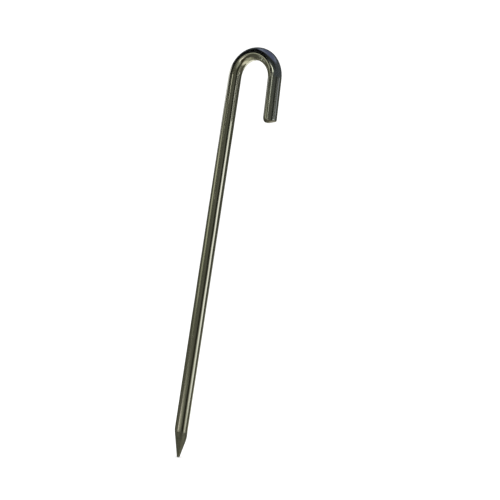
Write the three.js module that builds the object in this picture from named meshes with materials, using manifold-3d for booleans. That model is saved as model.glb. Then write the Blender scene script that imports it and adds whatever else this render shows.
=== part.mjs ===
// A J-hook tent stake: one round steel bar, cut to length, ground to a blunt point at one end and
// bent cold round a mandrel at the other, so that a short straight leg comes down beside the shank.
// Lengths are millimetres and angles are radians. +Z runs up the shank from the tip of the point,
// which is the origin. The hook lies in the XZ plane, with its leg on the +X side.

import * as THREE from "three";
import { mergeVertices, toCreasedNormals } from "three/addons/utils/BufferGeometryUtils.js";
import Module from "manifold-3d";

const INCH = 25.4;
const { clamp, degToRad, lerp } = THREE.MathUtils;

// Bar and hook
const BAR_RADIUS = (3 / 16) * INCH;
const OVERALL_HEIGHT = 12 * INCH; // tip to the top of the hook
const MANDREL_RADIUS = 0.5 * INCH; // inside of the bend
const BEND_ANGLE = degToRad(177.5); // the leg springs back from parallel and opens the hook a little
const LEG_LENGTH = 1.25 * INCH; // the straight run after the bend
const CUT_EDGE_RADIUS = 1.2; // the edge of the leg's cut end, tumbled round

// Ground point: a cone whose axis lies beside the bar's, so that one shoulder is the higher
const CONE_HALF_ANGLE = degToRad(13.1);
const CONE_OFFSET = 0.9; // towards the leg's side
const TIP_RADIUS = 1.0;
const TIP_EDGE_RADIUS = 0.35;

// Fineness of the curved faces
const BAR_SIDES = 36;
const SHANK_STEPS = 6;
const BEND_STEPS = 60;
const LEG_STEPS = 2;
const EDGE_STEPS = 5;
const CREASE_ANGLE = degToRad(20); // two faces that meet more sharply than this keep their edge

// Sizes that follow
const BEND_RADIUS = MANDREL_RADIUS + BAR_RADIUS; // to the bar's centreline
const SHANK_TOP = OVERALL_HEIGHT - BEND_RADIUS - BAR_RADIUS; // where the bend starts
const SAW_ALLOWANCE = 2; // length of stock that the grinding takes off below the tip
const TOOL_CLEARANCE = 1; // how far a cutting tool reaches past the bar
const PATH_STEPS = SHANK_STEPS + BEND_STEPS + LEG_STEPS;

// The bar's centreline: up the shank, round the bend and down the leg. Its parameter counts the
// same share for each step of each section, which gathers the steps where the bar turns.
class HookCentreline extends THREE.Curve {
  shares(t) {
    const step = t * PATH_STEPS;
    return {
      shank: clamp(step / SHANK_STEPS, 0, 1),
      bend: clamp((step - SHANK_STEPS) / BEND_STEPS, 0, 1),
      leg: clamp((step - SHANK_STEPS - BEND_STEPS) / LEG_STEPS, 0, 1),
    };
  }

  getPoint(t, target = new THREE.Vector3()) {
    const { shank, bend, leg } = this.shares(t);
    const turn = bend * BEND_ANGLE;
    const run = leg * LEG_LENGTH;
    return target.set(
      BEND_RADIUS * (1 - Math.cos(turn)) + run * Math.sin(turn),
      0,
      lerp(-SAW_ALLOWANCE, SHANK_TOP, shank) + BEND_RADIUS * Math.sin(turn) + run * Math.cos(turn),
    );
  }

  getTangent(t, target = new THREE.Vector3()) {
    const turn = this.shares(t).bend * BEND_ANGLE;
    return target.set(Math.sin(turn), 0, Math.cos(turn));
  }

  // Steps stay as they are counted, and aren't evened out by length.
  getPointAt(u, target) {
    return this.getPoint(u, target);
  }

  getTangentAt(u, target) {
    return this.getTangent(u, target);
  }
}

const wasm = await Module();
wasm.setup();

// A closed geometry as a solid that can be cut.
function solidOf(geometry) {
  const bare = geometry.clone();
  bare.deleteAttribute("normal");
  bare.deleteAttribute("uv");
  const merged = mergeVertices(bare);
  return new wasm.Manifold(
    new wasm.Mesh({
      numProp: 3,
      vertProperties: merged.getAttribute("position").array,
      triVerts: merged.index.array,
    }),
  );
}

// A solid as a geometry, with its edges kept sharp and its round faces smooth.
function geometryOf(solid) {
  const { vertProperties, triVerts } = solid.getMesh();
  const geometry = new THREE.BufferGeometry();
  geometry.setAttribute("position", new THREE.BufferAttribute(vertProperties, 3));
  geometry.setIndex(new THREE.BufferAttribute(triVerts, 1));
  return toCreasedNormals(geometry, CREASE_ANGLE);
}

// The bent bar before it is ground, with square ends.
function bentBar(centreline) {
  const section = new THREE.Shape();
  section.absarc(0, 0, BAR_RADIUS, 0, 2 * Math.PI);
  return new THREE.ExtrudeGeometry(section, {
    curveSegments: BAR_SIDES / 2,
    steps: PATH_STEPS,
    extrudePath: centreline,
  });
}

// Points of a quarter-turn or less of a profile, from angle `from` to angle `to`.
function arcPoints(x, y, radius, from, to) {
  const arc = new THREE.ArcCurve(x, y, radius, from, to, to < from);
  return arc.getPoints(EDGE_STEPS);
}

// A profile of (radius, height) points turned round the Z axis.
function turned(profile) {
  return new THREE.LatheGeometry(profile, BAR_SIDES).rotateX(Math.PI / 2);
}

// The space that the grinding takes: everything round and below the point's cone.
function grindingTool() {
  const slope = Math.tan(CONE_HALF_ANGLE);
  const rim = (BAR_RADIUS + CONE_OFFSET + TOOL_CLEARANCE) / slope; // where the cone is clear of the bar
  const wall = TIP_RADIUS + rim * slope + TOOL_CLEARANCE;
  const edge = TIP_RADIUS - TIP_EDGE_RADIUS * Math.tan(Math.PI / 4 - CONE_HALF_ANGLE / 2);
  const profile = [
    new THREE.Vector2(0, -2 * SAW_ALLOWANCE),
    new THREE.Vector2(wall, -2 * SAW_ALLOWANCE),
    new THREE.Vector2(wall, rim),
    new THREE.Vector2(TIP_RADIUS + rim * slope, rim),
    ...arcPoints(edge, TIP_EDGE_RADIUS, TIP_EDGE_RADIUS, -CONE_HALF_ANGLE, -Math.PI / 2),
    new THREE.Vector2(0, 0),
  ];
  return turned(profile).translate(CONE_OFFSET, 0, 0);
}

// The ring of metal that tumbling takes off a cut end, at a bar that ends at the origin and runs up.
function tumblingTool() {
  const inner = BAR_RADIUS - CUT_EDGE_RADIUS;
  const outer = BAR_RADIUS + TOOL_CLEARANCE;
  const profile = [
    new THREE.Vector2(inner, -TOOL_CLEARANCE),
    new THREE.Vector2(outer, -TOOL_CLEARANCE),
    new THREE.Vector2(outer, CUT_EDGE_RADIUS),
    ...arcPoints(inner, CUT_EDGE_RADIUS, CUT_EDGE_RADIUS, 0, -Math.PI / 2),
    new THREE.Vector2(inner, -TOOL_CLEARANCE),
  ];
  return turned(profile);
}

// The tumbling tool set at the end of the leg, where the bar runs back against the tangent.
function toolAtLegEnd(centreline) {
  const end = centreline.getPoint(1);
  const back = centreline.getTangent(1).negate();
  const turn = new THREE.Quaternion().setFromUnitVectors(new THREE.Vector3(0, 0, 1), back);
  return tumblingTool().applyQuaternion(turn).translate(end.x, end.y, end.z);
}

function stakeBar() {
  const centreline = new HookCentreline();
  const solid = solidOf(bentBar(centreline))
    .subtract(solidOf(grindingTool()))
    .subtract(solidOf(toolAtLegEnd(centreline)));
  const steel = new THREE.MeshStandardMaterial({
    color: 0x8c8c7c,
    roughness: 0.28,
    metalness: 1,
  });
  const mesh = new THREE.Mesh(geometryOf(solid), steel);
  mesh.name = "stake_bar";
  return mesh;
}

const group = new THREE.Group();
group.add(stakeBar());

export default group;
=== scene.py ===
"""The looks of a J-hook tent stake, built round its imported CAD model.

One closed mesh stands for the whole stake, because the stake is one steel bar. It is a swept
surface, worked out ring by ring along the bar's centreline, with the marks that the making left:
hand-ground flats on the point, a flattened track where the mandrel bore on the bend, and a sheared
and rolled edge on the leg's cut end. Everything is in metres, in the CAD model's frame.

Two numbers place a point on the bar: s, the distance along the bar from the tip, and theta, the
angle round the bar, which is 0 on the inside of the bend.
"""

import math

import bpy
import numpy as np
from mathutils import Matrix, Vector


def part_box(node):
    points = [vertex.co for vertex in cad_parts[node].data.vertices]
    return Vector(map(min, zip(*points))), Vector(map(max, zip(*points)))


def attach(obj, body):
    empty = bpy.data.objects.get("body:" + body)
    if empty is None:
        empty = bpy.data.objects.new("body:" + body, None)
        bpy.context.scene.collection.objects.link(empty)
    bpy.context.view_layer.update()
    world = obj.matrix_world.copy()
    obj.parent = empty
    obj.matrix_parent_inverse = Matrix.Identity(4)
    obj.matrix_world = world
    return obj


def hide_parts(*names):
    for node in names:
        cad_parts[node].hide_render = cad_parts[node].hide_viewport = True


MM = 0.001
NODE = "stake_bar"
BODY = "root"

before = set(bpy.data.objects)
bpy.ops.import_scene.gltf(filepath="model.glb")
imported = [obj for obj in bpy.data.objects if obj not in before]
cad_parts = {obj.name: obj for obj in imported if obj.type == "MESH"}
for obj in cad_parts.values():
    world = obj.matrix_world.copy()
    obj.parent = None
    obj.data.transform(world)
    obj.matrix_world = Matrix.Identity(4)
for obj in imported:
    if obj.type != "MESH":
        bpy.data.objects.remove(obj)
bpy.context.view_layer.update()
node_low, node_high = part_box(NODE)

# ---------------------------------------------------------------------------------------------
# Sizes. The bar's radius and height come from the CAD node, and the rest follows the same design.

BAR_RADIUS = (node_high.y - node_low.y) / 2
HEIGHT = node_high.z
MANDREL_RADIUS = 12.7 * MM
BEND_ANGLE = math.radians(177.5)
LEG_LENGTH = 31.75 * MM
BEND_RADIUS = MANDREL_RADIUS + BAR_RADIUS  # to the centreline
BEND_START = HEIGHT - BEND_RADIUS - BAR_RADIUS
BEND_RUN = BEND_RADIUS * BEND_ANGLE
BEND_END = BEND_START + BEND_RUN
BAR_END = BEND_END + LEG_LENGTH

# The ground point
CONE_SLOPE = math.tan(math.radians(13.1))
CONE_OFFSET = 0.9 * MM  # of the cone's axis from the shank's
TIP_RADIUS = 1.0 * MM
TIP_EDGE = 0.35 * MM
POINT_TOP = 24.0 * MM  # above the highest trace of the grinding
DULL_TOP = 20.0 * MM  # the plating is worn dull up to here
FLAT_COUNT = 9
FLAT_DEPTHS = (0.010, 0.032)  # as shares of the cone's radius
FLAT_LEAN = 0.1  # radians that a flat may wander round the cone up to the top of the point
FLAT_BLEND = 0.035  # roundness of the edges between flats, as a share of the cone's radius
CONE_BLEND = 0.42 * MM  # how widely the edge between the cone and the bar is worn round

# The bar's unevenness, as shares of its radius
DRAWN_WAVE = 0.0035
DRAWN_MOST = 0.004
THREE_LOBES = 0.6  # strength of the three-lobed waves against the oval ones
BENT_SIDES = 0.006  # the bend is wider across its plane
BENT_FACES = 0.022  # and thinner in its plane
DRIVEN_SWELL = 0.03
LEG_SWELL = 0.04
PRESSED_SWELL = 0.10  # on the inside of the late bend

# Where that unevenness lies
BENT_OUTSIDE = 5 * MM  # the bend's changes begin this far outside its ends
BENT_INSIDE = 9 * MM  # and are whole this far inside them
DRIVEN_FADE = (60 * MM, 170 * MM)  # height over which the driven end's swelling fades
LEG_SWELL_TURNS = (math.radians(80.0), math.radians(125.0))  # over which the leg's grows
PRESSED_TURN = math.radians(125.0)
PRESSED_SPREAD = math.radians(36.0)

# The mandrel's track along the inside of the bend, and how much its waves change it
TRACK_WIDTH = 0.36  # radians round the bar
TRACK_WIDTH_CHANGE = 0.05
TRACK_DEPTH = 0.16 * MM
TRACK_DEPTH_CHANGE = 0.35  # as a share

# The leg's cut end
SHEAR_START = math.radians(326.0)  # theta of the side that the shear blade met first
EDGE_LENGTHS = (1.2 * MM, 4.0 * MM)  # of the drawn-in edge, away from the shear and on its side
EDGE_DEPTH = 0.3 * MM  # that the edge is drawn in, past half of its length
NICK_ANGLE = math.radians(199.0)
NICK_WIDTH = 0.085  # radians round the bar
NICK_LENGTH = 0.9 * MM
NICK_DEPTH = 0.30 * MM
END_SLOPE = 1.1 * MM
END_SLOPE_RUN = 7.0 * MM  # length of leg that leads into the slope
END_GRAIN = 0.05 * MM

# Dents of the bending die: angle into the bend, theta, length and width in degrees, depth in mm
DIE_MARKS = (
    (44.0, 300.0, 7.0, 13.0, 0.10),
    (62.0, 312.0, 4.0, 9.0, 0.09),
    (76.0, 318.0, 3.5, 10.0, 0.08),
    (118.0, 300.0, 5.0, 12.0, 0.11),
    (158.0, 268.0, 6.5, 10.0, 0.10),
    (52.0, 58.0, 8.0, 12.0, 0.09),
    (121.0, 64.0, 6.0, 11.0, 0.10),
)

# Fineness of the mesh
SIDES = 108
TIP_SHARES = (0.35, 0.7)  # rings on the flat of the tip, as shares of its radius
CUT_SHARES = (0.93, 0.85, 0.74, 0.6, 0.42, 0.22)  # and on the leg's cut face


# ---------------------------------------------------------------------------------------------
# Shape of the bar

def smooth(x, low, high):
    """0 below low, 1 above high, and a smooth step between."""
    t = np.clip((x - low) / (high - low), 0.0, 1.0)
    return t * t * (3.0 - 2.0 * t)


def bump(x, centre, width):
    """1 at centre, falling off as a bell of that width."""
    return np.exp(-(((x - centre) / width) ** 2))


def angle_from(theta, centre):
    """How far each angle is from centre, in radians, from -pi to pi."""
    return (theta - centre + math.pi) % (2.0 * math.pi) - math.pi


def waves(rng, count, low, high):
    """A sum of sine waves with wavelengths from low to high, as a function of distance."""
    lengths = np.exp(rng.uniform(math.log(low), math.log(high), count))
    phases = rng.uniform(0.0, 2.0 * math.pi, count)

    def wave(x):
        total = np.zeros_like(x)
        for length, phase in zip(lengths, phases):
            total = total + np.sin(2.0 * math.pi * x / length + phase)
        return total / math.sqrt(count)

    return wave


def smaller_of(a, b, blend):
    """The smaller of two radii, with the crease between them rounded over that blend."""
    h = np.clip(0.5 + 0.5 * (b - a) / blend, 0.0, 1.0)
    return b + (a - b) * h - blend * h * (1.0 - h)


def bend_turn(s):
    """Angle that the bar has turned through at distances s."""
    return np.clip((s - BEND_START) / BEND_RADIUS, 0.0, BEND_ANGLE)


def centreline(s):
    """Points, tangents and inward normals of the bar's centreline at distances s."""
    turn = bend_turn(s)
    shank = np.minimum(s, BEND_START)
    run = np.maximum(s - BEND_START - BEND_RUN, 0.0)
    zero = np.zeros_like(s)
    tangent = np.stack([np.sin(turn), zero, np.cos(turn)], -1)
    inward = np.stack([np.cos(turn), zero, -np.sin(turn)], -1)
    x = BEND_RADIUS * (1.0 - np.cos(turn))
    z = shank + BEND_RADIUS * np.sin(turn)
    return np.stack([x, zero, z], -1) + run[..., None] * tangent, tangent, inward


class BarShape:
    """The bar's radius and end faces, with the unevenness that one seed gives."""

    def __init__(self, seed):
        rng = np.random.default_rng(seed)
        self.sway = [waves(rng, 5, 28 * MM, 120 * MM) for _ in range(4)]
        self.track_waves = waves(rng, 6, 2.2 * MM, 9 * MM)
        self.end_waves = waves(rng, 6, 0.5 * math.pi, 2.0 * math.pi)
        steps = np.arange(FLAT_COUNT) + rng.uniform(-0.3, 0.3, FLAT_COUNT)
        self.flat_angles = steps * 2.0 * math.pi / FLAT_COUNT
        self.flat_depths = rng.uniform(*FLAT_DEPTHS, FLAT_COUNT)
        self.flat_leans = rng.uniform(-1.0, 1.0, FLAT_COUNT)

    def cone_radius(self, s, theta):
        """Radius of the ground cone about its own axis, with its hand-ground flats."""
        edge = TIP_RADIUS - TIP_EDGE * math.tan(math.pi / 4 - math.atan(CONE_SLOPE) / 2)
        sides = TIP_RADIUS + s * CONE_SLOPE
        depth = np.clip(TIP_EDGE - s, 0.0, TIP_EDGE)
        rounded = edge + np.sqrt(TIP_EDGE**2 - depth**2)
        turned = np.where(s < TIP_EDGE * (1.0 - CONE_SLOPE), np.minimum(rounded, sides), sides)
        ground = turned
        for angle, share, lean in zip(self.flat_angles, self.flat_depths, self.flat_leans):
            away = angle_from(theta, angle + FLAT_LEAN * lean * s / POINT_TOP)
            flat = turned * (1.0 - share) / np.maximum(np.cos(away), 0.35)
            ground = smaller_of(ground, flat, FLAT_BLEND * turned)
        return ground

    def bar_radius(self, s, theta):
        """Radius of the bar away from its ends: out of round a little, and flattened at the bend."""
        turn = bend_turn(s)
        bent = smooth(s, BEND_START - BENT_OUTSIDE, BEND_START + BENT_INSIDE)
        bent = bent * (1.0 - smooth(s, BEND_END - BENT_INSIDE, BEND_END + BENT_OUTSIDE))
        oval = bent * (BENT_SIDES * np.sin(theta) ** 2 - BENT_FACES * np.cos(theta) ** 2)
        drawn = DRAWN_WAVE * (
            self.sway[0](s) * np.cos(2.0 * theta)
            + self.sway[1](s) * np.sin(2.0 * theta)
            + THREE_LOBES * self.sway[2](s) * np.cos(3.0 * theta)
            + THREE_LOBES * self.sway[3](s) * np.sin(3.0 * theta)
        )
        swell = self.swelling(s, theta, turn)
        radius = BAR_RADIUS * (1.0 + oval + swell + np.minimum(drawn, DRAWN_MOST))
        return radius - bent * self.mandrel_track(s, theta) - self.die_marks(theta, turn)

    def swelling(self, s, theta, turn):
        """Share by which the bar is thicker: at the driven end, inside the late bend and on the leg."""
        low = DRIVEN_SWELL * (1.0 - smooth(s, *DRIVEN_FADE))
        leg = LEG_SWELL * smooth(turn, *LEG_SWELL_TURNS)
        pressed = PRESSED_SWELL * bump(turn, PRESSED_TURN, PRESSED_SPREAD)
        return low + leg + pressed * (0.5 + 0.5 * np.cos(theta)) ** 1.5

    def mandrel_track(self, s, theta):
        """Depth of the flattened track that the mandrel left along the inside of the bend."""
        width = TRACK_WIDTH + TRACK_WIDTH_CHANGE * self.track_waves(s)
        press = TRACK_DEPTH * (1.0 + TRACK_DEPTH_CHANGE * self.track_waves(s + 40 * MM))
        return bump(angle_from(theta, 0.0), 0.0, width) * np.maximum(press, 0.0)

    def die_marks(self, theta, turn):
        """Depth of the shallow dents that the bending die pressed in beside the mandrel's track."""
        depth = np.zeros_like(turn)
        for degrees, angle, long, wide, deep in DIE_MARKS:
            along = bump(turn, math.radians(degrees), math.radians(long))
            across = bump(angle_from(theta, math.radians(angle)), 0.0, math.radians(wide))
            depth = depth + deep * MM * along * across
        return depth

    def edge_length(self, theta):
        """Length of the leg's drawn-in edge: it is rolled over on its sheared side."""
        rolled = 0.5 + 0.5 * np.cos(angle_from(theta, SHEAR_START))
        short, long = EDGE_LENGTHS
        return short + (long - short) * rolled**2

    def cut_edge(self, s, theta):
        """How much the leg's cut edge is drawn in, with its nick."""
        length = self.edge_length(theta)
        depth = EDGE_DEPTH + 0.5 * length
        left = np.clip((BAR_END - s) / length, 0.0, 1.0)
        nick = bump(angle_from(theta, NICK_ANGLE), 0.0, NICK_WIDTH) * bump(s, BAR_END, NICK_LENGTH)
        return depth * (1.0 - np.sqrt(np.maximum(1.0 - (1.0 - left) ** 2, 0.0))) + NICK_DEPTH * nick

    def bare_edge(self, s, theta):
        """How far the leg's cut edge is bare of plating, from 0 to 1."""
        length = self.edge_length(theta)
        return smooth(s, BAR_END - length, BAR_END - 0.55 * length)

    def bareness(self, s, theta, stands_out):
        """How far the plating is ground off or worn dull, where the bar stands out past the cone."""
        scallop = 0.05 * MM * np.sin(5.0 * theta + 40.0 * s / POINT_TOP)
        ground = smooth(stands_out, -0.10 * MM, 0.06 * MM + scallop)
        ragged_top = DULL_TOP + 0.5 * MM * self.end_waves(theta)
        dulled = 1.0 - smooth(s, ragged_top - 1.1 * MM, ragged_top + 0.6 * MM)
        return np.maximum(ground, dulled)

    def ring(self, s, theta):
        """Centre offset towards theta 0, radius about that centre, and how far the surface is bare.

        The centre moves from the cone's axis at the tip to the bar's own above the point.
        """
        offset = CONE_OFFSET * (1.0 - smooth(s, 0.0, POINT_TOP))
        bar = self.bar_radius(s, theta) - self.cut_edge(s, theta)
        bar = np.sqrt(bar**2 - (offset * np.sin(theta)) ** 2) - offset * np.cos(theta)
        beside = CONE_OFFSET - offset
        cone = self.cone_radius(s, theta)
        cone = beside * np.cos(theta) + np.sqrt(np.maximum(cone**2 - (beside * np.sin(theta)) ** 2, 0))
        return offset, smaller_of(bar, cone, CONE_BLEND), self.bareness(s, theta, bar - cone)

    def end_slope(self, share, theta):
        """Height of the leg's cut above a square cut: it runs back on the side away from the shear."""
        across = share * np.cos(angle_from(theta, SHEAR_START))
        return -END_SLOPE * smooth(-across, -0.3, 1.0)

    def end_relief(self, share, theta):
        """Height of the cut face's own texture: smooth where it was sheared and rough where it tore."""
        across = share * np.cos(angle_from(theta, SHEAR_START))
        torn = smooth(-across, -0.25, 0.05)
        grain = END_GRAIN * torn * np.sin(9.0 * share + self.end_waves(theta))
        return grain * share * (1.0 - share) - END_GRAIN * torn * (1.0 - share)

    def wall_lift(self, s, theta):
        """How far the leg's wall follows the slope of its cut at distance s."""
        return self.end_slope(1.0, theta) * smooth(s, BAR_END - END_SLOPE_RUN, BAR_END)

    def face_lift(self, share, theta):
        """Height of the cut face at that share of its radius."""
        return self.end_slope(share, theta) + self.end_relief(share, theta)


def stations():
    """Distances along the bar for the rings, closest where the shape changes fastest."""
    arc = TIP_EDGE * (1.0 - np.cos(np.linspace(0.0, 0.45 * math.pi, 7)))
    point = np.linspace(arc[-1] + 0.15 * MM, POINT_TOP, 96)
    shank = np.arange(POINT_TOP + 0.9 * MM, BEND_START - 6 * MM, 1.0 * MM)
    bend = np.linspace(BEND_START - 5.5 * MM, BEND_END + 5.5 * MM, 230)
    leg = np.arange(bend[-1] + 0.4 * MM, BAR_END - 4.2 * MM, 0.5 * MM)
    edge = BAR_END - 4.0 * MM * (1.0 - np.sin(np.linspace(0.0, 0.5 * math.pi, 26)))
    return np.concatenate([arc, point, shank, bend, leg, edge])


def bar_rings(shape, theta):
    """Every ring of the mesh: distances, centre offset, radius, bareness, share that is cut, lift."""
    along = stations()
    s, angle = np.meshgrid(along, theta, indexing="ij")
    offset, radius, bare = shape.ring(s, angle)
    walls = [
        (s[i], offset[i], radius[i], bare[i], shape.bare_edge(s[i], theta), shape.wall_lift(s[i], theta))
        for i in range(len(along))
    ]
    plain = np.zeros(SIDES)
    tip = [(s[0], offset[0], share * radius[0], bare[0], plain, plain) for share in TIP_SHARES]
    cut = [
        (s[-1], offset[-1], share * radius[-1], bare[-1], plain + 1.0, shape.face_lift(share, theta))
        for share in CUT_SHARES
    ]
    return tip + walls + cut


def ring_faces(ring_count):
    """Faces between the rings, and two fans that close the ends on the two last vertices."""
    faces = []
    for ring in range(ring_count - 1):
        for side in range(SIDES):
            a = ring * SIDES + side
            b = ring * SIDES + (side + 1) % SIDES
            faces.append((a, b, b + SIDES, a + SIDES))
    tip_pole = ring_count * SIDES
    cut_pole = tip_pole + 1
    last = (ring_count - 1) * SIDES
    for side in range(SIDES):
        faces.append((tip_pole, (side + 1) % SIDES, side))
        faces.append((cut_pole, last + side, last + (side + 1) % SIDES))
    return faces


def bar_mesh(shape):
    """Vertices and faces of the closed bar, with each vertex's place on the straight bar and wear."""
    theta = np.linspace(0.0, 2.0 * math.pi, SIDES, endpoint=False)
    across = np.array([0.0, 1.0, 0.0])
    rings = bar_rings(shape, theta)
    points, stock, worn = [], [], []
    for s, offset, radius, bare, cut, lift in rings:
        centre, tangent, inward = centreline(s)
        x = offset + radius * np.cos(theta)
        y = radius * np.sin(theta)
        points.append(centre + x[:, None] * inward + y[:, None] * across + lift[:, None] * tangent)
        stock.append(np.stack([x, y, s + lift], -1))
        worn.append(np.stack([bare, cut], -1))

    centre, tangent, _ = centreline(np.array([BAR_END]))
    lift = shape.face_lift(0.0, np.zeros(1))
    tip_pole = [CONE_OFFSET, 0.0, 0.0]
    points.append(np.array([tip_pole, (centre + lift[:, None] * tangent)[0]]))
    stock.append(np.array([tip_pole, [0.0, 0.0, BAR_END + lift[0]]]))
    worn.append(np.array([[1.0, 0.0], [0.0, 1.0]]))
    return np.concatenate(points), ring_faces(len(rings)), np.concatenate(stock), np.concatenate(worn)


def plating_tint_and_painted_sheen(stock):
    """How blue the steel is at each vertex: partly the plating's film and partly a painted reflection of
    bluish light. It is thickest outside the bend and the leg.
    """
    s = stock[:, 2]
    theta = np.arctan2(stock[:, 1], stock[:, 0])
    outer = 0.5 - 0.5 * np.cos(theta)
    crown = smooth(s, BEND_START + 8 * MM, BEND_START + 30 * MM)
    crown = crown * (1.0 - 0.20 * smooth(s, BEND_START + 40 * MM, BAR_END))
    return crown * smooth(outer, 0.15, 0.85)


def add_attribute(mesh, name, kind, values):
    attribute = mesh.attributes.new(name, kind, "POINT")
    key = "vector" if kind == "FLOAT_VECTOR" else "value"
    attribute.data.foreach_set(key, np.ascontiguousarray(values, np.float32).ravel())


def make_stake():
    vertices, faces, stock, worn = bar_mesh(BarShape(seed=7))
    mesh = bpy.data.meshes.new("stake")
    mesh.from_pydata(vertices.tolist(), [], faces)
    mesh.validate()
    mesh.shade_smooth()
    add_attribute(mesh, "stock", "FLOAT_VECTOR", stock)
    add_attribute(mesh, "ground", "FLOAT", worn[:, 0])
    add_attribute(mesh, "cut", "FLOAT", worn[:, 1])
    # This attribute carries the blue tint: partly plating film, partly a painted reflection of bluish
    # light
    add_attribute(mesh, "film_and_painted_sheen", "FLOAT", plating_tint_and_painted_sheen(stock))
    stake = bpy.data.objects.new("stake", mesh)
    bpy.context.scene.collection.objects.link(stake)
    return stake


# ---------------------------------------------------------------------------------------------
# Node trees

class Nodes:
    """Short calls for building a node tree."""

    def __init__(self, tree):
        self.tree = tree
        tree.nodes.clear()

    def add(self, kind, settings=None, **inputs):
        node = self.tree.nodes.new(kind)
        for key, value in (settings or {}).items():
            setattr(node, key, value)
        for key, value in inputs.items():
            self.put(node, key.replace("_", " "), value)
        return node

    def put(self, node, socket, value):
        """Link or set an input, which is given by its place or by its name in any case."""
        target = node.inputs[socket] if isinstance(socket, int) else self.named(node, socket)
        if isinstance(value, bpy.types.NodeSocket):
            self.tree.links.new(value, target)
        else:
            target.default_value = value

    @staticmethod
    def named(node, socket):
        return next(i for i in node.inputs if i.name.lower() == socket.lower() and i.enabled)

    def attribute(self, name, output="Fac"):
        return self.add("ShaderNodeAttribute", {"attribute_name": name}).outputs[output]

    def math(self, operation, a, b=0.0, clamp=False):
        node = self.add("ShaderNodeMath", {"operation": operation, "use_clamp": clamp})
        self.put(node, 0, a)
        self.put(node, 1, b)
        return node.outputs[0]

    def times(self, a, b):
        return self.math("MULTIPLY", a, b)

    def wrapped(self, degrees):
        """An angle brought into -180 to 180 degrees."""
        node = self.add("ShaderNodeMath", {"operation": "WRAP"})
        for socket, value in enumerate((degrees, 180.0, -180.0)):
            self.put(node, socket, value)
        return node.outputs[0]

    def remap(self, value, low, high, to_low=0.0, to_high=1.0):
        """A smooth step from one range to another, held level outside it."""
        node = self.add("ShaderNodeMapRange", {"interpolation_type": "SMOOTHSTEP"})
        for socket, number in enumerate((value, low, high, to_low, to_high)):
            self.put(node, socket, number)
        return node.outputs[0]

    def mix(self, factor, a, b):
        """Colour a where the factor is 0, and b where it is 1."""
        node = self.add("ShaderNodeMix", {"data_type": "RGBA", "blend_type": "MIX"})
        self.put(node, 0, factor)
        self.put(node, 6, a)
        self.put(node, 7, b)
        return node.outputs[2]

    def scaled(self, vector, scale):
        node = self.add("ShaderNodeVectorMath", {"operation": "MULTIPLY"})
        self.put(node, 0, vector)
        self.put(node, 1, scale)
        return node.outputs[0]

    def noise(self, vector, detail=2.0, roughness=0.5):
        """Noise at one cell for each unit of the vector."""
        node = self.add("ShaderNodeTexNoise", {"noise_dimensions": "3D"}, Vector=vector, Scale=1.0)
        self.put(node, "Detail", detail)
        self.put(node, "Roughness", roughness)
        return node.outputs["Fac"]

    def cells(self, vector):
        """Distance from the middle of the nearest cell, at one cell for each unit of the vector."""
        node = self.add("ShaderNodeTexVoronoi", {"feature": "F1"}, Vector=vector, Scale=1.0)
        return node.outputs["Distance"]


def colour(red, green, blue):
    return (red, green, blue, 1.0)


def grey(level, green=1.0, blue=1.0):
    """A colour of that red level, with green and blue as shares of it."""
    return colour(level, level * green, level * blue)


def per_mm(x, y, z):
    """A scale that turns metres into cells, given cells for each millimetre along each axis."""
    return (x / MM, y / MM, z / MM)


# ---------------------------------------------------------------------------------------------
# Material

OLIVE_STEEL = colour(0.51, 0.51, 0.47)
SHADED_STEEL = colour(0.44, 0.45, 0.395)
# The blue is partly the plating's film and partly a painted reflection of bluish light, laid outside the
# bend and the leg
BLUE_FILM_AND_PAINTED_SHEEN = colour(0.455, 0.487, 0.51)
SCRATCH_STEEL = colour(0.62, 0.61, 0.55)
PIT_STEEL = colour(0.12, 0.11, 0.08)
GROUND_STEEL = colour(0.27, 0.275, 0.225)
GROUND_DARK = colour(0.19, 0.19, 0.155)
TORN_STEEL = colour(0.27, 0.26, 0.22)

# Roughness of the plating, and what each mark and each bare face has or adds
PLATED_ROUGHNESS = (0.09, 0.13)
CLOUD_ROUGHNESS = 0.03
SCRATCH_ROUGHNESS = 0.12
PIT_ROUGHNESS = 0.35
GROUND_ROUGHNESS = (0.42, 0.54)
TORN_ROUGHNESS = 0.32

# Height or depth of each mark
LINE_HEIGHT = 0.0006 * MM
SCRATCH_DEPTH = 0.0015 * MM
PIT_DEPTH = 0.03 * MM
WHEEL_HEIGHT = 0.03 * MM
TORN_HEIGHT = 0.12 * MM

SCRATCH_SKEW = 0.35  # radians between the long scratches and the bar


def drawn_lines(n, stock):
    """Fine lines that the drawing die left along the bar."""
    return n.noise(n.scaled(stock, per_mm(1.3, 1.3, 0.012)), detail=2.0, roughness=0.6)


def scratches(n, stock):
    """Short handling scratches, a few across the bar and most along it."""
    skewed = n.add("ShaderNodeVectorRotate", Vector=stock, Angle=SCRATCH_SKEW).outputs[0]
    along = n.noise(n.scaled(skewed, per_mm(0.9, 0.9, 0.05)), detail=1.0)
    across = n.noise(n.scaled(stock, per_mm(0.25, 0.25, 2.4)), detail=1.0)
    lines = n.remap(along, 0.70, 0.76)
    ticks = n.remap(across, 0.72, 0.77)
    return n.math("MAXIMUM", lines, n.times(ticks, 0.6))


def pits(n, stock):
    """Pinholes and specks in the plating."""
    gate = n.remap(n.noise(n.scaled(stock, per_mm(0.12, 0.12, 0.06))), 0.56, 0.70)
    specks = n.remap(n.cells(n.scaled(stock, per_mm(1.1, 1.1, 0.8))), 0.16, 0.08)
    return n.times(specks, gate)


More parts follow.
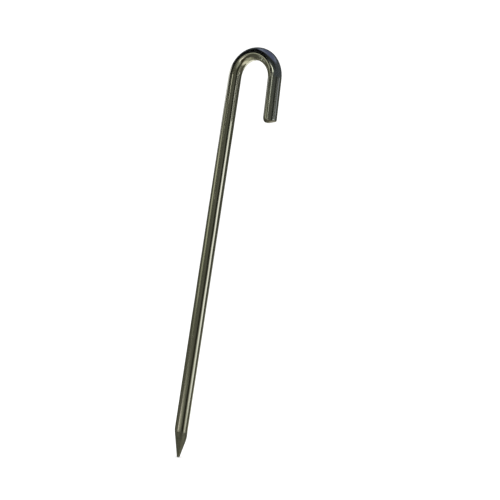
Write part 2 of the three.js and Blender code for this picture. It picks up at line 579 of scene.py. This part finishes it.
class SteelMarks:
    """The masks and noises that the steel's colour, roughness and relief share."""

    def __init__(self, n):
        stock = n.attribute("stock", "Vector")
        self.ground = n.attribute("ground")
        self.cut = n.attribute("cut")
        self.film_and_painted_sheen = n.attribute("film_and_painted_sheen")
        self.plated = n.math("SUBTRACT", 1.0, self.ground)
        self.lines = drawn_lines(n, stock)
        self.scratches = scratches(n, stock)
        self.pits = pits(n, stock)
        self.cloud = n.noise(n.scaled(stock, per_mm(0.10, 0.10, 0.035)), detail=3.0)
        self.wheel = n.noise(n.scaled(stock, per_mm(0.35, 0.35, 5.5)), detail=3.0, roughness=0.65)
        self.torn = n.noise(n.scaled(stock, per_mm(2.4, 2.4, 2.4)), detail=4.0, roughness=0.7)


def steel_colour(n, marks):
    # Painted reflection: the blue tint outside the bend and the leg stands partly for plating film and
    # partly for bluish light reflected there
    film_and_painted_sheen = n.times(marks.film_and_painted_sheen, n.remap(marks.cloud, 0.3, 0.7, 0.75, 1.0))
    shine = n.mix(n.remap(marks.cloud, 0.35, 0.68), OLIVE_STEEL, SHADED_STEEL)
    shine = n.mix(film_and_painted_sheen, shine, BLUE_FILM_AND_PAINTED_SHEEN)
    shine = n.mix(n.times(marks.scratches, 0.5), shine, SCRATCH_STEEL)
    shine = n.mix(marks.pits, shine, PIT_STEEL)
    bare = n.mix(n.remap(marks.wheel, 0.35, 0.65), GROUND_STEEL, GROUND_DARK)
    torn = n.mix(marks.torn, TORN_STEEL, GROUND_DARK)
    return n.mix(marks.cut, n.mix(marks.ground, shine, bare), torn)


def steel_roughness(n, marks):
    shine = n.remap(marks.lines, 0.3, 0.7, *PLATED_ROUGHNESS)
    shine = n.math("ADD", shine, n.remap(marks.cloud, 0.3, 0.7, 0.0, CLOUD_ROUGHNESS))
    shine = n.math("ADD", shine, n.times(marks.scratches, SCRATCH_ROUGHNESS))
    shine = n.math("ADD", shine, n.times(marks.pits, PIT_ROUGHNESS))
    matt = n.remap(marks.wheel, 0.3, 0.7, *GROUND_ROUGHNESS)
    rough = n.math("ADD", n.times(shine, marks.plated), n.times(matt, marks.ground))
    return n.math("ADD", rough, n.times(marks.cut, TORN_ROUGHNESS), clamp=True)


def steel_relief(n, marks):
    height = n.times(n.times(marks.lines, marks.plated), LINE_HEIGHT)
    height = n.math("SUBTRACT", height, n.times(marks.scratches, SCRATCH_DEPTH))
    height = n.math("SUBTRACT", height, n.times(marks.pits, PIT_DEPTH))
    height = n.math("ADD", height, n.times(n.times(marks.wheel, marks.ground), WHEEL_HEIGHT))
    height = n.math("ADD", height, n.times(n.times(marks.torn, marks.cut), TORN_HEIGHT))
    return n.add("ShaderNodeBump", Height=height, Strength=1.0, Distance=1.0).outputs[0]


def new_material(name, make_shader):
    """A material whose surface is the shader node that make_shader returns."""
    material = bpy.data.materials.new(name)
    material.use_nodes = True
    n = Nodes(material.node_tree)
    n.add("ShaderNodeOutputMaterial", Surface=make_shader(n).outputs[0])
    return material


def plated_steel(n):
    """Bright zinc over drawn bar, bare where the point was ground and where the leg was cut."""
    marks = SteelMarks(n)
    surface = steel_colour(n, marks)
    rough = steel_roughness(n, marks)
    relief = steel_relief(n, marks)
    return n.add(
        "ShaderNodeBsdfPrincipled", Base_Color=surface, Metallic=1.0, Roughness=rough, Normal=relief
    )


def pale_floor(n):
    shader = n.add("ShaderNodeBsdfPrincipled", Base_Color=colour(0.93, 0.93, 0.93), Roughness=0.9)
    n.put(shader, "Specular IOR Level", 0.0)
    return shader


# ---------------------------------------------------------------------------------------------
# Studio

FLOOR_REACH = 30.0  # from its middle to each side
FLOOR_DROP = 0.3 * MM  # keeps the floor clear of the tip

LIGHT_AZIMUTH = 20.0
LIGHT_ELEVATION = 72.0
LIGHT_DISTANCE = 1.6
LIGHT_SIDE = 1.6
LIGHT_POWER = 9.0

WHITE_STRENGTH = 1.15  # of the white that the camera and the floor see


def direction(azimuth, elevation):
    """Unit vector at an azimuth, where 0 is -Y and 90 is +X, and an elevation, in degrees."""
    a, e = math.radians(azimuth), math.radians(elevation)
    return Vector((math.sin(a) * math.cos(e), -math.cos(a) * math.cos(e), math.sin(e)))


def make_floor():
    mesh = bpy.data.meshes.new("floor")
    corners = [(x * FLOOR_REACH, y * FLOOR_REACH, 0) for x, y in ((-1, -1), (1, -1), (1, 1), (-1, 1))]
    mesh.from_pydata(corners, [], [(0, 1, 2, 3)])
    floor = bpy.data.objects.new("floor", mesh)
    floor.location.z = -FLOOR_DROP
    floor.visible_glossy = False
    bpy.context.scene.collection.objects.link(floor)
    mesh.materials.append(new_material("floor", pale_floor))


def make_light():
    """A square light overhead, which faces the middle of the stake and doesn't show in the steel."""
    light = bpy.data.lights.new("overhead", "AREA")
    light.size = LIGHT_SIDE
    light.energy = LIGHT_POWER
    lamp = bpy.data.objects.new("overhead", light)
    away = direction(LIGHT_AZIMUTH, LIGHT_ELEVATION)
    place = Vector((0.0, 0.0, HEIGHT / 2)) + LIGHT_DISTANCE * away
    lamp.matrix_world = Matrix.Translation(place) @ away.to_track_quat("Z", "Y").to_matrix().to_4x4()
    lamp.visible_camera = False
    lamp.visible_glossy = False
    bpy.context.scene.collection.objects.link(lamp)


# What the steel sees round it: softboxes, cards and dark flags, each a soft-edged patch of the room.
# Azimuth and elevation of the middle, half width and half height, softness of the edges across and
# down, how far the patch leans (degrees of azimuth for each degree of elevation), and its colour.
# A later patch covers the earlier ones.
ROOM_PATCHES = (
    # The ground half: a warm sweep with darker bands
    ("sweep_right", 112, -66, 72, 14, 22, 7, 0.0, grey(1.15, 0.95, 0.74)),
    ("band_left", 272, -43, 62, 9, 22, 6, 0.0, grey(0.13, 0.98, 0.75)),
    ("band_front", 8, -44, 38, 8, 16, 6, 0.0, grey(0.06, 0.72, 0.35)),
    ("glow_back", 192, -30, 24, 20, 12, 12, 0.0, grey(1.45, 0.98, 0.84)),
    ("brown_back", 130, -26, 16, 14, 10, 8, 0.0, grey(0.15, 0.90, 0.65)),
    ("window_foot", 92, -28, 14, 22, 7, 8, 0.0, grey(0.78, 0.98, 0.78)),
    ("stripe_left", 288, -22, 8, 8, 6, 3, 2.0, grey(0.80, 1.04, 0.88)),
    ("pale_front", 15, -22, 13, 7, 9, 5, 0.0, grey(0.50, 1.04, 0.82)),
    ("cream_front", 350, -19, 9, 7, 7, 3, -1.3, grey(2.1, 0.93, 0.78)),
    # The sky half
    ("high_right", 125, 63, 46, 5, 24, 7, 0.0, grey(0.29, 1.08, 1.30)),
    ("high_left", 290, 64, 55, 6, 18, 6, 0.0, grey(0.28, 1.08, 1.35)),
    ("flag_front", 15, 42, 42, 13, 18, 8, 0.0, grey(0.030, 1.1, 0.9)),
    ("flag_left", 308, 31, 36, 27, 8, 3.5, 0.0, grey(0.001, 1.0, 0.9)),
    ("window_high", 356, 17, 9, 3.2, 7, 2, 2.0, grey(2.2, 1.0, 0.76)),
    ("rim_left", 264, 9, 17, 4, 5, 4, 0.0, grey(1.7, 1.0, 0.94)),
    # Near the horizon, where the shank and the leg look
    ("panel_left", 320, -0.5, 13, 4.8, 6, 1.6, -1.6, grey(0.68, 1.0, 0.72)),
    ("strip_front", 348, 7.4, 6, 1.9, 3, 0.9, 0.0, grey(1.45, 1.0, 0.78)),
    ("panel_low", 2, -12, 14, 2.5, 9, 2.5, -1.5, grey(0.46, 1.0, 0.75)),
    ("card_front", 24, -2, 5, 8, 7, 6, 1.5, grey(0.17, 1.0, 0.75)),
    ("flag_right", 53, -10, 10, 24, 6, 8, 0.5, grey(0.012, 1.0, 0.55)),
    ("window_right", 97, -2, 14, 8.6, 5, 1.3, -0.8, grey(1.50, 1.0, 0.90)),
    ("window_leg", 121, 9.3, 8, 2.4, 5, 1.0, 0.0, grey(0.52, 1.02, 1.0)),
    ("card_back", 136, 2, 9, 8, 6, 6, 0.0, grey(0.05, 1.0, 0.85)),
)


def room_background(n, elevation):
    """The room behind its patches: dim at the sides, bluer overhead and pale on the ground."""
    room = n.mix(n.remap(elevation, 4.0, 20.0), grey(0.115, 1.0, 0.70), grey(0.08, 1.1, 1.1))
    room = n.mix(n.remap(elevation, 50.0, 66.0), room, grey(0.14, 1.10, 1.75))
    return n.mix(n.remap(elevation, -44.0, -78.0), room, grey(0.62, 0.98, 0.72))


def room_light(n):
    """Colour of the room in the direction that a ray leaves by."""
    sky = n.add("ShaderNodeTexCoord").outputs["Generated"]
    split = n.add("ShaderNodeSeparateXYZ", Vector=sky)
    across = n.math("ARCTAN2", split.outputs["X"], n.times(split.outputs["Y"], -1.0))
    azimuth = n.times(across, math.degrees(1.0))
    elevation = n.times(n.math("ARCSINE", split.outputs["Z"]), math.degrees(1.0))
    room = room_background(n, elevation)
    for _, middle, height, wide, tall, soft_x, soft_y, lean, tint in ROOM_PATCHES:
        level = n.math("SUBTRACT", elevation, float(height))
        turned = n.math("SUBTRACT", azimuth, float(middle))
        if lean:
            turned = n.math("SUBTRACT", turned, n.times(level, lean))
        x = n.remap(n.math("ABSOLUTE", n.wrapped(turned)), wide + soft_x, wide - soft_x)
        y = n.remap(n.math("ABSOLUTE", level), tall + soft_y, tall - soft_y)
        room = n.mix(n.times(x, y), room, tint)
    return room


def make_world():
    """White to the camera and to the floor, and the room with its lights in the steel."""
    world = bpy.data.worlds.new("studio")
    bpy.context.scene.world = world
    world.use_nodes = True
    n = Nodes(world.node_tree)
    path = n.add("ShaderNodeLightPath")
    room = n.add("ShaderNodeBackground", Color=room_light(n), Strength=1.0)
    white = n.add("ShaderNodeBackground", Color=grey(1.0), Strength=WHITE_STRENGTH)
    chosen = n.add("ShaderNodeMixShader")
    n.put(chosen, 0, path.outputs["Is Glossy Ray"])
    n.put(chosen, 1, white.outputs[0])
    n.put(chosen, 2, room.outputs[0])
    n.add("ShaderNodeOutputWorld", Surface=chosen.outputs[0])


# ---------------------------------------------------------------------------------------------
# Camera: at the viewing angle of the reference, a little above and on the leg's side of the hook.

CAMERA_AZIMUTH = 34.38
CAMERA_ELEVATION = 2.41
CAMERA_ROLL = 8.74  # degrees that the stake's head leans to the right in the picture
CAMERA_DISTANCE = 0.8296
CAMERA_LENS = 81.4
STAKE_LEFT = 0.03236  # how far the middle of the stake stands left of the picture's middle
STAKE_DOWN = 0.01310  # and how far below it
STAKE_MIDDLE = 0.14129  # height of the point that both are measured from


def make_camera():
    data = bpy.data.cameras.new("camera")
    data.sensor_width = 36.0
    data.lens = CAMERA_LENS
    data.clip_start = 0.02
    data.clip_end = 100.0
    camera = bpy.data.objects.new("camera", data)
    back = direction(CAMERA_AZIMUTH, CAMERA_ELEVATION)
    level = back.to_track_quat("Z", "Y").to_matrix()
    turned = (level @ Matrix.Rotation(math.radians(CAMERA_ROLL), 3, "Z")).to_4x4()
    aim = turned @ Vector((STAKE_LEFT, STAKE_DOWN, CAMERA_DISTANCE))
    camera.matrix_world = Matrix.Translation(Vector((0.0, 0.0, STAKE_MIDDLE)) + aim) @ turned
    bpy.context.scene.collection.objects.link(camera)
    bpy.context.scene.camera = camera


# ---------------------------------------------------------------------------------------------
# The scene

make_camera()
make_floor()
make_light()
make_world()
bpy.context.scene.view_settings.view_transform = "Standard"

stake = make_stake()
stake.data.materials.append(new_material("plated_steel", plated_steel))
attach(stake, BODY)
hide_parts(NODE)
